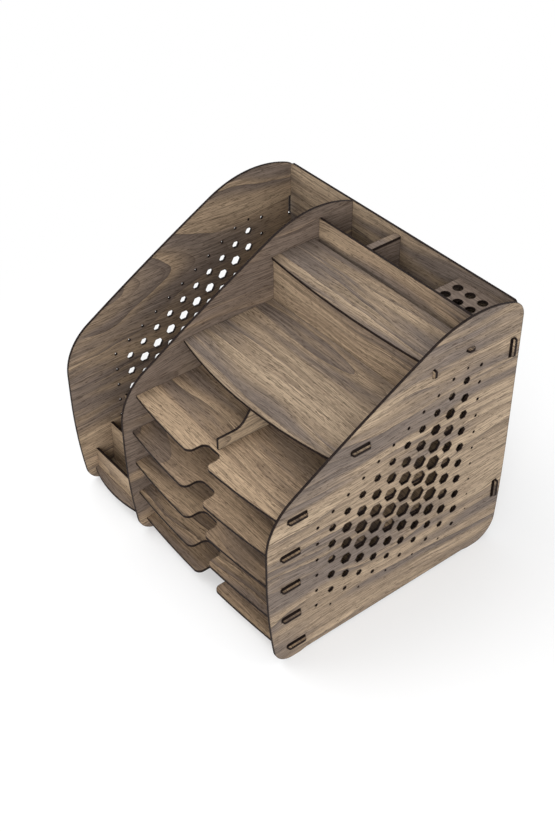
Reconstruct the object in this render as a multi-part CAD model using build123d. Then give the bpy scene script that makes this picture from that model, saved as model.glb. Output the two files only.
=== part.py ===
"""Flat-pack desk rack cut from thin board: letter trays, a stepped top with a pen box, and a binder bay.

Lengths are in millimetres. X runs to the right, Y to the back and Z up, with the floor at zero and the
origin in the middle of the footprint.
"""
import os
from math import asin, atan2, cos, degrees, hypot, radians, sin, sqrt, tan

from build123d import *

os.makedirs("parts", exist_ok=True)

# Board stock and the three upright panels.
sheet = 3.0
binder_bay_width = 106.0
tray_bay_width = 245.0
panel_depth = 326.5
panel_height = 332.4

# Panel outline: shoulder, sloping top, tapered front and low feet.
shoulder_radius = 66.0
shoulder_drop = 168.2
slope_bulge_angle = 1.9
top_arc_radius = 130.0
apex_setback = 63.75
rear_corner_radius = 23.5
front_taper_radius = 748.0
rear_taper_radius = 1500.0
taper_drop = 30.8
front_foot_radius = 24.6
rear_foot_radius = 30.1
foot_flat = 8.8
foot_ramp = 8.4
belly_rise = 1.8

# Perforation of the side panels.
hole_pitch = 22.0
hole_columns = 12
first_column_setback = 62.5
first_column_drop = 166.0
lowest_hole_height = 45.4
row_slack_share = 0.25
topless_column_count = 2
last_column_trim_count = 1
top_hole_radii = (2.0, 4.7, 6.8, 8.5, 9.6)
front_hole_radii = (2.0, 5.2, 7.3, 8.9, 9.6)
rear_hole_radii = (2.4, 5.4, 7.0, 9.2, 9.6)
bottom_hole_radii = (1.3, 3.9, 6.3, 8.7, 9.6)
last_column_radii = (2.4, 0.8)

# One small hole above the first topless column sits lower than its place in the honeycomb.
sunken_hole_row_share = 0.29
sunken_hole_radius = 1.5

# Tabs and slots.
tab_length = 22.6
short_tab_length = 9.0
tab_projection = 3.7
tab_corner = 2.0
tab_root = 8.0
slot_end_play = 1.0
slot_gap = 3.4
slot_corner = 0.9
open_slot_corner = 2.4
slot_fit = 0.1

# Trays, counted from the top, and the upper shelf one pitch above them.
tray_count = 5
lowest_tray_top = 19.4
tray_setbacks = (11.3, 11.0, 11.0, 9.2, 10.4)
tray_bows = (9.0, 8.8, 7.9, 6.4, 5.4)
tray_tab_setback = 17.2
notch_width = 28.4
notch_depth = 22.0
notch_corner = 7.5
notch_offset = -1.9
rear_tab_spread = 75.0
upper_drop = 92.0
upper_setback = 16.6
upper_bow = 14.2
upper_tab_setback = 30.7

# Step and its riser.
step_drop = 37.5
step_gap = 6.1
step_depth = 59.4
step_bow = 6.2
step_tab_inset = 7.6
riser_inset = 2.1
riser_tab_drop = 5.8

# Pen box.
pen_box_depth = 45.0
pen_front_drop = 14.2
pen_strip_drop = 17.8
pen_strip_width = 9.1
pen_strip_tab_length = 4.6
end_compartment_width = 78.2
brush_plate_drop = 24.2
brush_hole_radius = 5.5
brush_hole_pitch = 17.6
brush_hole_columns = 4
brush_hole_rows = 2
front_joint_drop = 38.0
rear_joint_drop = 30.0

# Divider between the uppermost tray and the upper shelf.
tail_setback = 3.2
tail_height = 14.0
tail_length = 20.0
swoop_length = 38.0
swoop_lean_share = 0.55
divider_foot_lead = 139.1
divider_head_lead = 32.1

# Back panel.
back_inset = 11.4
back_bottom = 5.8
back_drop = 10.9
back_corner = 4.0
back_tab_rise = 73.6
back_tab_drop = 65.9
middle_tab_rise = 118.0
middle_tab_drop = 110.4

# Binder bay.
binder_setback = 19.6
binder_bow = 8.8
binder_outer_tab_setback = 36.6
binder_inner_tab_setback = 76.6
binder_board_setback = 23.5
binder_board_pitch = 22.6
binder_board_heights = (26.7, 55.3, 85.6)
binder_board_names = ("binder_lip", "binder_middle_board", "binder_stop_board")

# Places along X, Y and Z that follow from the sizes above.
total_width = 3 * sheet + binder_bay_width + tray_bay_width
left_outer_x = -total_width / 2
left_inner_x = left_outer_x + sheet
middle_left_x = left_inner_x + binder_bay_width
middle_right_x = middle_left_x + sheet
right_inner_x = middle_right_x + tray_bay_width
tray_mid_x = (middle_right_x + right_inner_x) / 2
notch_x = tray_mid_x + notch_offset
binder_mid_x = (left_inner_x + middle_left_x) / 2
front_y = -panel_depth / 2
rear_y = panel_depth / 2
back_face_y = rear_y - back_inset
pen_inner_y = back_face_y - pen_box_depth
pen_front_y = pen_inner_y - sheet
step_back_y = pen_front_y - step_gap
step_front_y = step_back_y - step_depth
step_tab_y = step_back_y - step_tab_inset
riser_y = step_front_y + riser_inset
divider_foot_tab_y = back_face_y - divider_foot_lead
divider_head_tab_y = pen_front_y - divider_head_lead
pen_mid_y = (pen_inner_y + back_face_y) / 2
shoulder_height = panel_height - shoulder_drop
taper_height = shoulder_height - taper_drop
first_column_height = panel_height - first_column_drop
back_top = panel_height - back_drop
back_tab_heights = (back_tab_rise, panel_height - back_tab_drop)
middle_tab_heights = (middle_tab_rise, panel_height - middle_tab_drop)
upper_top = panel_height - upper_drop
upper_underside = upper_top - sheet
tray_pitch = (upper_top - lowest_tray_top) / tray_count
tray_tops = [upper_top - (number + 1) * tray_pitch for number in range(tray_count)]
step_top = panel_height - step_drop
step_underside = step_top - sheet
riser_tab_z = step_underside - riser_tab_drop
pen_front_top = panel_height - pen_front_drop
pen_strip_top = panel_height - pen_strip_drop
brush_plate_top = panel_height - brush_plate_drop
pen_strip_right_x = middle_right_x + end_compartment_width
pen_strip_mid_x = pen_strip_right_x - pen_strip_width / 2
pen_divider_x = pen_strip_right_x - sheet
brush_divider_x = right_inner_x - end_compartment_width
brush_plate_mid_x = right_inner_x - end_compartment_width / 2
through_reach = sheet + tab_projection


def bar(u_low, u_high, v_low, v_high):
    """Rectangle between two places along each axis of a sketch."""
    middle = Pos((u_low + u_high) / 2, (v_low + v_high) / 2)
    return middle * Rectangle(u_high - u_low, v_high - v_low)


def rounded_bar(u_low, u_high, v_low, v_high, corner):
    """Rectangle with rounded corners between two places along each axis of a sketch."""
    middle = Pos((u_low + u_high) / 2, (v_low + v_high) / 2)
    return middle * RectangleRounded(u_high - u_low, v_high - v_low, corner)


def tab_on_u(edge, side, middle, reach, length=tab_length):
    """Tab standing out along the first sketch axis; side is 1 or -1."""
    ends = sorted((edge - side * tab_root, edge + side * reach))
    return rounded_bar(*ends, middle - length / 2, middle + length / 2, tab_corner)


def tab_on_v(edge, side, middle, reach, length=tab_length):
    """Tab standing out along the second sketch axis; side is 1 or -1."""
    ends = sorted((edge - side * tab_root, edge + side * reach))
    return rounded_bar(middle - length / 2, middle + length / 2, *ends, tab_corner)


def slot_along_u(middle, low, room, length=tab_length):
    """Slot for a tab that lies along the first sketch axis, with its bearing edge at low."""
    ends = (middle - length / 2 - slot_end_play, middle + length / 2 + slot_end_play)
    slot = rounded_bar(*ends, low, low + sheet + slot_fit, slot_corner)
    if room > slot_fit:
        slot += rounded_bar(*ends, low, low + sheet + room, open_slot_corner)
    return slot


def slot_along_v(low, middle, length=tab_length, room=slot_fit):
    """Slot for a tab that stands along the second sketch axis, with its bearing edge at low."""
    half = length / 2 + slot_end_play
    return rounded_bar(low, low + sheet + room, middle - half, middle + half, slot_corner)


def flat_board(face, top):
    """Board lying flat, drawn in X and Y, with its upper face at the given height."""
    plane = Plane(origin=(0, 0, top - sheet), x_dir=(1, 0, 0), z_dir=(0, 0, 1))
    return extrude(plane * face, sheet)


def cross_board(face, front):
    """Upright board facing the front, drawn in X and Z, with its front face at the given place."""
    plane = Plane(origin=(0, front + sheet, 0), x_dir=(1, 0, 0), z_dir=(0, -1, 0))
    return extrude(plane * face, sheet)


def side_board(face, left):
    """Upright board facing the side, drawn in Y and Z, with its left face at the given place."""
    plane = Plane(origin=(left, 0, 0), x_dir=(0, 1, 0), z_dir=(1, 0, 0))
    return extrude(plane * face, sheet)


def save(board, node):
    """Write one board to its own file."""
    export_step(board, os.path.join("parts", node + ".step"))


def around(centre, radius, angle):
    """Point on a circle at an angle in degrees."""
    return centre[0] + radius * cos(radians(angle)), centre[1] + radius * sin(radians(angle))


def between(first, second, share=0.5):
    """Point on the line between two points."""
    return tuple(a + (b - a) * share for a, b in zip(first, second))


def foot_centre(taper_radius, foot_radius):
    """Distance of a foot's centre from the panel edge when its arc runs on into the tapered edge."""
    drop = taper_height - foot_radius
    return taper_radius - sqrt((taper_radius - foot_radius) ** 2 - drop ** 2)


def foot_sine(taper_radius, foot_radius):
    """Sine of the angle at which the foot arc runs into the tapered edge."""
    return (taper_height - foot_radius) / (taper_radius - foot_radius)


shoulder = (front_y + shoulder_radius, shoulder_height)
top_centre = (rear_y - apex_setback, panel_height - top_arc_radius)
shoulder_to_top = (top_centre[0] - shoulder[0], top_centre[1] - shoulder[1])
slope_turn = asin((top_arc_radius - shoulder_radius) / hypot(*shoulder_to_top))
slope_angle = degrees(atan2(shoulder_to_top[1], shoulder_to_top[0]) + slope_turn)
slope_low_angle = slope_angle + slope_bulge_angle
slope_high_angle = slope_angle - slope_bulge_angle
slope_start = around(shoulder, shoulder_radius, 90 + slope_low_angle)
slope_end = around(top_centre, top_arc_radius, 90 + slope_high_angle)
front_foot = (front_y + foot_centre(front_taper_radius, front_foot_radius), front_foot_radius)
rear_foot = (rear_y - foot_centre(rear_taper_radius, rear_foot_radius), rear_foot_radius)


def panel_front_at(height):
    """Place of the panel's front edge at a height."""
    if height > slope_start[1]:
        return slope_start[0] + (height - slope_start[1]) / tan(radians(slope_angle))
    if height > shoulder_height:
        return shoulder[0] - sqrt(shoulder_radius ** 2 - (height - shoulder_height) ** 2)
    if height > taper_height:
        return front_y
    if height > front_foot_radius:
        return front_y + front_taper_radius - sqrt(front_taper_radius ** 2 - (taper_height - height) ** 2)
    return front_foot[0] - sqrt(front_foot_radius ** 2 - (front_foot_radius - height) ** 2)


tray_fronts = [panel_front_at(top) + setback for top, setback in zip(tray_tops, tray_setbacks)]
upper_front_y = panel_front_at(upper_top) + upper_setback
upper_tab_y = upper_front_y + upper_tab_setback


def panel_outline():
    """Face of an upright panel in Y and Z."""
    slope_half_length = hypot(slope_end[0] - slope_start[0], slope_end[1] - slope_start[1]) / 2
    slope_rise = slope_half_length * tan(radians(slope_bulge_angle / 2))
    slope_crown = around(between(slope_start, slope_end), slope_rise, 90 + slope_angle)
    corner_run = apex_setback - rear_corner_radius
    corner_rise = sqrt((top_arc_radius - rear_corner_radius) ** 2 - corner_run ** 2)
    corner = (rear_y - rear_corner_radius, top_centre[1] + corner_rise)
    corner_angle = degrees(atan2(corner_rise, corner_run))
    corner_meet = around(corner, rear_corner_radius, corner_angle)
    top_middle_angle = (corner_angle + 90 + slope_high_angle) / 2

    front_sine = foot_sine(front_taper_radius, front_foot_radius)
    rear_sine = foot_sine(rear_taper_radius, rear_foot_radius)
    front_cosine = sqrt(1 - front_sine ** 2)
    rear_cosine = sqrt(1 - rear_sine ** 2)
    front_meet = (front_foot[0] - front_foot_radius * front_cosine, front_foot_radius * (1 - front_sine))
    rear_meet = (rear_foot[0] + rear_foot_radius * rear_cosine, rear_foot_radius * (1 - rear_sine))
    half_root = sqrt(0.5)
    front_toe = (front_foot[0] - front_foot_radius * half_root, front_foot_radius * (1 - half_root))
    rear_toe = (rear_foot[0] + rear_foot_radius * half_root, rear_foot_radius * (1 - half_root))
    front_bend = (front_y + front_taper_radius, taper_height)
    rear_bend = (rear_y - rear_taper_radius, taper_height)
    front_half = (taper_height + front_meet[1]) / 2
    rear_half = (taper_height + rear_meet[1]) / 2
    front_crown_y = front_bend[0] - sqrt(front_taper_radius ** 2 - (taper_height - front_half) ** 2)
    rear_crown_y = rear_bend[0] + sqrt(rear_taper_radius ** 2 - (taper_height - rear_half) ** 2)

    front_flat_end = front_foot[0] + foot_flat
    rear_flat_end = rear_foot[0] - foot_flat
    edge = Polyline(
        (front_foot[0], 0),
        (front_flat_end, 0),
        (front_flat_end + foot_ramp, belly_rise),
        (rear_flat_end - foot_ramp, belly_rise),
        (rear_flat_end, 0),
        (rear_foot[0], 0),
    )
    edge += ThreePointArc((rear_foot[0], 0), rear_toe, rear_meet)
    edge += ThreePointArc(rear_meet, (rear_crown_y, rear_half), (rear_y, taper_height))
    edge += Line((rear_y, taper_height), (rear_y, corner[1]))
    corner_crown = around(corner, rear_corner_radius, corner_angle / 2)
    edge += ThreePointArc((rear_y, corner[1]), corner_crown, corner_meet)
    edge += ThreePointArc(corner_meet, around(top_centre, top_arc_radius, top_middle_angle), slope_end)
    edge += ThreePointArc(slope_end, slope_crown, slope_start)
    edge += ThreePointArc(
        slope_start,
        around(shoulder, shoulder_radius, 135 + slope_low_angle / 2),
        (front_y, shoulder_height),
    )
    edge += Line((front_y, shoulder_height), (front_y, taper_height))
    edge += ThreePointArc((front_y, taper_height), (front_crown_y, front_half), front_meet)
    edge += ThreePointArc(front_meet, front_toe, (front_foot[0], 0))
    return make_face(edge)


def blended(sizes, steps):
    """Size at a distance counted in steps, blended between neighbours and level past the last one."""
    last = len(sizes) - 1
    if steps >= last:
        return sizes[last]
    lower = int(steps)
    share = steps - lower
    return sizes[lower] * (1 - share) + sizes[lower + 1] * share


def perforation():
    """Honeycomb of holes that shrink towards the rim of the pattern."""
    column_step = hole_pitch * sqrt(0.75)
    lowest_steps = (first_column_height - lowest_hole_height) / hole_pitch
    holes = []

    def punch(column, row, radius):
        """Add a hole at a column and a row of the honeycomb."""
        spot_y = front_y + first_column_setback + column * column_step
        spot_z = first_column_height + (column / 2 - row) * hole_pitch
        holes.append(Pos(spot_y, spot_z) * RegularPolygon(radius, 6))

    for column in range(hole_columns):
        from_rear = hole_columns - 1 - column
        row_count = int(lowest_steps + column / 2 + row_slack_share) + 1
        first_row = int(from_rear < topless_column_count)
        if from_rear == 0:
            row_count -= last_column_trim_count
        for row in range(first_row, row_count):
            radius = min(
                blended(top_hole_radii, row),
                blended(front_hole_radii, column),
                blended(rear_hole_radii, from_rear),
                blended(bottom_hole_radii, column / 2 - row + lowest_steps),
            )
            if from_rear == 0:
                radius = min(radius, blended(last_column_radii, row / row_count))
            punch(column, row, radius)
    punch(hole_columns - topless_column_count, sunken_hole_row_share, sunken_hole_radius)
    return holes


def tray_tab_slots(room):
    """Slots in an upright panel for the trays, the upper shelf, the riser and the step."""
    slots = []
    for number in range(tray_count):
        spot = tray_fronts[number] + tray_tab_setback
        slots.append(slot_along_u(spot, tray_tops[number] - sheet, room))
    slots.append(slot_along_u(upper_tab_y, upper_underside, room))
    slots.append(slot_along_v(riser_y, riser_tab_z, short_tab_length))
    slots.append(slot_along_u(step_tab_y, step_underside, slot_fit, short_tab_length))
    return slots


def back_tab_slots():
    """Slots in a side panel for the tabs of the back panel, open towards the front."""
    return [slot_along_v(back_face_y - slot_gap, height, room=slot_gap) for height in back_tab_heights]


def make_right_panel():
    """Right side panel."""
    face = panel_outline() - perforation() - tray_tab_slots(slot_gap) - back_tab_slots()
    save(side_board(face, right_inner_x), "right_side_panel")


def make_left_panel():
    """Left side panel."""
    base_slot = slot_along_u(front_y + binder_outer_tab_setback, lowest_tray_top - sheet, slot_fit)
    face = panel_outline() - perforation() - back_tab_slots() - base_slot
    save(side_board(face, left_outer_x), "left_side_panel")


def make_middle_panel():
    """Middle panel, cut short at the back panel and tabbed into it."""
    face = panel_outline() - bar(back_face_y, rear_y, 0, panel_height)
    for height in middle_tab_heights:
        face += tab_on_u(back_face_y, 1, height, through_reach)
    face -= tray_tab_slots(slot_fit)
    face -= slot_along_u(front_y + binder_inner_tab_setback, lowest_tray_top - sheet, slot_fit)
    save(side_board(face, middle_left_x), "middle_panel")


def bowed_face(left, right, front, back, bow):
    """Board drawn in X and Y with a front edge bowed outwards."""
    middle = (left + right) / 2
    edge = Polyline((left, front), (left, back), (right, back), (right, front))
    edge += ThreePointArc((right, front), (middle, front - bow), (left, front))
    return make_face(edge)


def bay_face(front, back, bow):
    """Bowed board that spans the tray bay."""
    return bowed_face(middle_right_x, right_inner_x, front, back, bow)


def with_side_tabs(face, spot, length=tab_length):
    """Add a tab that stands out of the right panel and one that ends flush in the middle panel."""
    face += tab_on_u(right_inner_x, 1, spot, through_reach, length)
    face += tab_on_u(middle_right_x, -1, spot, sheet, length)
    return face


def with_rear_tabs(face):
    """Add the two tabs that pass through the back panel."""
    for side in (-1, 1):
        face += tab_on_v(back_face_y, 1, tray_mid_x + side * rear_tab_spread, through_reach)
    return face


def with_notch(face, tip):
    """Cut the thumb notch into the bowed front and round its corners."""
    half = notch_width / 2
    face -= bar(notch_x - half, notch_x + half, tip - notch_depth, tip + notch_depth)
    corners = [spot for spot in face.vertices() if abs(spot.X - notch_x) < notch_width]
    return fillet(corners, notch_corner)


def make_trays():
    """The five letter trays, from the top down."""
    for number in range(tray_count):
        front = tray_fronts[number]
        bow = tray_bows[number]
        face = with_notch(bay_face(front, back_face_y, bow), front - bow)
        face = with_rear_tabs(with_side_tabs(face, front + tray_tab_setback))
        if number == 0:
            face -= slot_along_v(tray_mid_x - sheet / 2, divider_foot_tab_y)
        save(flat_board(face, tray_tops[number]), "tray_%d" % (number + 1))


def make_upper_shelf():
    """Upper shelf, which is also the floor of the pen box."""
    face = bay_face(upper_front_y, back_face_y, upper_bow)
    face = with_rear_tabs(with_side_tabs(face, upper_tab_y))
    for side in (-1, 1):
        spot = tray_mid_x + side * rear_tab_spread
        face -= slot_along_u(spot, riser_y, slot_fit)
        face -= slot_along_u(spot, pen_front_y, slot_fit)
    for left in (pen_divider_x, brush_divider_x):
        face -= slot_along_v(left, pen_mid_y)
    face -= slot_along_v(tray_mid_x - sheet / 2, divider_head_tab_y)
    save(flat_board(face, upper_top), "upper_shelf")


def make_riser():
    """Riser board between the upper shelf and the step."""
    face = bar(middle_right_x, right_inner_x, upper_top, step_underside)
    face = with_side_tabs(face, riser_tab_z, short_tab_length)
    for side in (-1, 1):
        face += tab_on_v(upper_top, -1, tray_mid_x + side * rear_tab_spread, sheet)
    save(cross_board(face, riser_y), "riser_board")


def make_step():
    """Step shelf on top of the riser."""
    face = bay_face(step_front_y, step_back_y, step_bow)
    face = with_side_tabs(face, step_tab_y, short_tab_length)
    save(flat_board(face, step_top), "step_shelf")


def make_pen_front():
    """Front panel of the pen box."""
    face = bar(middle_right_x, right_inner_x, upper_top, pen_front_top)
    for side in (-1, 1):
        face += tab_on_v(upper_top, -1, tray_mid_x + side * rear_tab_spread, sheet)
    joint_height = step_underside - front_joint_drop / 2
    for left in (pen_divider_x, brush_divider_x):
        face -= slot_along_v(left, joint_height)
    save(cross_board(face, pen_front_y), "pen_front_panel")


def make_pen_divider(left, top, node):
    """Upright divider of the pen box that carries a plate on its upper edge."""
    face = bar(pen_inner_y, back_face_y, upper_top, top - sheet)
    face += tab_on_v(upper_top, -1, pen_mid_y, sheet)
    face += tab_on_u(pen_inner_y, -1, step_underside - front_joint_drop / 2, sheet)
    face += tab_on_u(back_face_y, 1, step_underside - rear_joint_drop, through_reach)
    save(side_board(face, left), node)


def make_pen_strip():
    """Narrow strip that lies on the pen divider and is tabbed into the back panel."""
    face = bar(pen_strip_right_x - pen_strip_width, pen_strip_right_x, pen_inner_y, back_face_y)
    tab_left = pen_strip_mid_x - pen_strip_tab_length / 2
    tab_right = pen_strip_mid_x + pen_strip_tab_length / 2
    face += bar(tab_left, tab_right, back_face_y - sheet, back_face_y + sheet)
    save(flat_board(face, pen_strip_top), "pen_strip")


def make_brush_plate():
    """Plate with round holes at the right end of the pen box."""
    face = bar(brush_divider_x, right_inner_x, pen_inner_y, back_face_y)
    face -= Pos(brush_plate_mid_x, pen_mid_y) * GridLocations(
        brush_hole_pitch, brush_hole_pitch, brush_hole_columns, brush_hole_rows
    ) * Circle(brush_hole_radius)
    for side in (-1, 1):
        spot = brush_plate_mid_x + side * end_compartment_width / 4
        tab_half = short_tab_length / 2
        face += bar(spot - tab_half, spot + tab_half, back_face_y - sheet, back_face_y + sheet)
    save(flat_board(face, brush_plate_top), "brush_plate")


def make_tray_divider():
    """Divider on the uppermost tray: a low tail in front that sweeps up to the upper shelf."""
    low = tray_tops[0]
    high = upper_underside
    tail_front = tray_fronts[0] - tray_bows[0] + notch_depth + tail_setback
    tail_top = low + tail_height
    swoop_start = (tail_front + tail_length, tail_top)
    swoop_end = (swoop_start[0] + swoop_length, high)
    lean = swoop_length * swoop_lean_share
    edge = Polyline(
        swoop_end,
        (back_face_y, high),
        (back_face_y, low),
        (tail_front, low),
        (tail_front, tail_top),
        swoop_start,
    )
    edge += Bezier(
        swoop_start,
        (swoop_start[0] + lean, tail_top),
        (swoop_end[0] - lean, high),
        swoop_end,
    )
    face = make_face(edge)
    face += tab_on_v(low, -1, divider_foot_tab_y, sheet)
    face += tab_on_v(high, 1, divider_head_tab_y, sheet)
    save(side_board(face, tray_mid_x - sheet / 2), "tray_divider")


def make_back_panel():
    """Back panel with side tabs and slots for everything that reaches it."""
    face = bar(left_inner_x, right_inner_x, back_bottom, back_top)
    face = fillet(face.vertices(), back_corner)
    for height in back_tab_heights:
        face += tab_on_u(right_inner_x, 1, height, through_reach)
        face += tab_on_u(left_inner_x, -1, height, through_reach)
    slots = []
    for top in tray_tops + [upper_top]:
        for side in (-1, 1):
            slots.append(slot_along_u(tray_mid_x + side * rear_tab_spread, top - sheet, slot_fit))
    slots.append(slot_along_u(binder_mid_x, lowest_tray_top - sheet, slot_fit))
    for height in middle_tab_heights:
        slots.append(slot_along_v(middle_left_x, height))
    for left in (pen_divider_x, brush_divider_x):
        slots.append(slot_along_v(left, step_underside - rear_joint_drop))
    slots.append(slot_along_u(pen_strip_mid_x, pen_strip_top - sheet, slot_fit, pen_strip_tab_length))
    for side in (-1, 1):
        spot = brush_plate_mid_x + side * end_compartment_width / 4
        slots.append(slot_along_u(spot, brush_plate_top - sheet, slot_fit, short_tab_length))
    save(cross_board(face - slots, back_face_y), "back_panel")


def make_binder_bay():
    """Base of the binder bay and the three cross boards that stand on it."""
    face = bowed_face(left_inner_x, middle_left_x, front_y + binder_setback, back_face_y, binder_bow)
    face += tab_on_u(left_inner_x, -1, front_y + binder_outer_tab_setback, through_reach)
    face += tab_on_u(middle_left_x, 1, front_y + binder_inner_tab_setback, sheet)
    face += tab_on_v(back_face_y, 1, binder_mid_x, through_reach)
    for number, name in enumerate(binder_board_names):
        front = front_y + binder_board_setback + number * binder_board_pitch
        face -= slot_along_u(binder_mid_x, front, slot_fit)
        top = lowest_tray_top + binder_board_heights[number]
        board = bar(left_inner_x, middle_left_x, lowest_tray_top, top)
        board += tab_on_v(lowest_tray_top, -1, binder_mid_x, sheet)
        save(cross_board(board, front), name)
    save(flat_board(face, lowest_tray_top), "binder_base")


make_left_panel()
make_middle_panel()
make_right_panel()
make_back_panel()
make_trays()
make_upper_shelf()
make_riser()
make_step()
make_pen_front()
make_pen_divider(pen_divider_x, pen_strip_top, "pen_divider")
make_pen_divider(brush_divider_x, brush_plate_top, "brush_divider")
make_pen_strip()
make_brush_plate()
make_tray_divider()
make_binder_bay()
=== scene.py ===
"""Dressed scene of a flat-pack desk rack cut from thin walnut-veneered board.

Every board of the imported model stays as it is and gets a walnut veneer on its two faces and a
scorched finish on its cut edges. Places are in metres, with X to the right, Y to the back and Z up.
"""

import math

import bpy
from mathutils import Euler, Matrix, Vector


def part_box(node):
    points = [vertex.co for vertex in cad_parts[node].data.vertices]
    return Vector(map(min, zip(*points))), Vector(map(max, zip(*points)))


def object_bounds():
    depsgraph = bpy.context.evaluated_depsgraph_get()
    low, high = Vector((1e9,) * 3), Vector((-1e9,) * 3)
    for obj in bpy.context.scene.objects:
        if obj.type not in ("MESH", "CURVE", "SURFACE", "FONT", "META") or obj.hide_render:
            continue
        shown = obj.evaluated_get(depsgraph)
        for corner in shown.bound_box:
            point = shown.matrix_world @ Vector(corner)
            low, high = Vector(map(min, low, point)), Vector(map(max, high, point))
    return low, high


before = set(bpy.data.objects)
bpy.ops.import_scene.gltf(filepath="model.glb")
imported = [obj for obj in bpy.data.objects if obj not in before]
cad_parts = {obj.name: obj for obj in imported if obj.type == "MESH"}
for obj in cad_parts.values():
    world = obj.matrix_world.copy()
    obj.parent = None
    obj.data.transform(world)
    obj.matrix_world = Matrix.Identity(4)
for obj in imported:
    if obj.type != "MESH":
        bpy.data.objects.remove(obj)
cad_low, cad_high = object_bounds()

bl_info = {
    "name": "Walnut Desk Rack",
    "version": (1, 0, 0),
    "blender": (4, 5, 0),
    "location": "3D View > Sidebar > Desk Rack",
    "description": "Dresses the boards of a laser-cut desk rack in walnut veneer and sets a plain stage",
    "category": "Object",
}

WHITE = (1.0, 1.0, 1.0, 1.0)

# Width of the camera's sensor in millimetres.
SENSOR_WIDTH = 36.0

# Middle of a range from 0 to 1.
HALF = 0.5

# Steps in the noise between two layers of one veneer and between two boards.
LAYER_STEP = 5.7
SEED_STEP = 7.3

# Boards that are dressed alike.
TRAY_BOARDS = ("tray_1", "tray_2", "tray_3", "tray_4", "tray_5")
PLATE_BOARDS = ("pen_strip", "brush_plate")
PEN_DIVIDERS = ("pen_divider", "brush_divider")
BINDER_BOARDS = ("binder_lip", "binder_middle_board", "binder_stop_board")

# Where the heart of the trunk lies for the first tray, and how it moves from each tray to the next.
TRAY_HEART = (0.0, -0.2, 0.05)
TRAY_HEART_STEP = (0.03, 0.05)

# Range of painted slot shade that lies past the end of every board, for those without tabs in the side
# panels.
NO_SLOT = (1.0, 1.0)

# Axis letters for the grain, across the grain and through the thickness of a board.
STANDING_SIDEWAYS = ("Y", "Z", "X")
LYING_FLAT = ("X", "Y", "Z")
FACING_FRONT = ("X", "Z", "Y")


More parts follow.
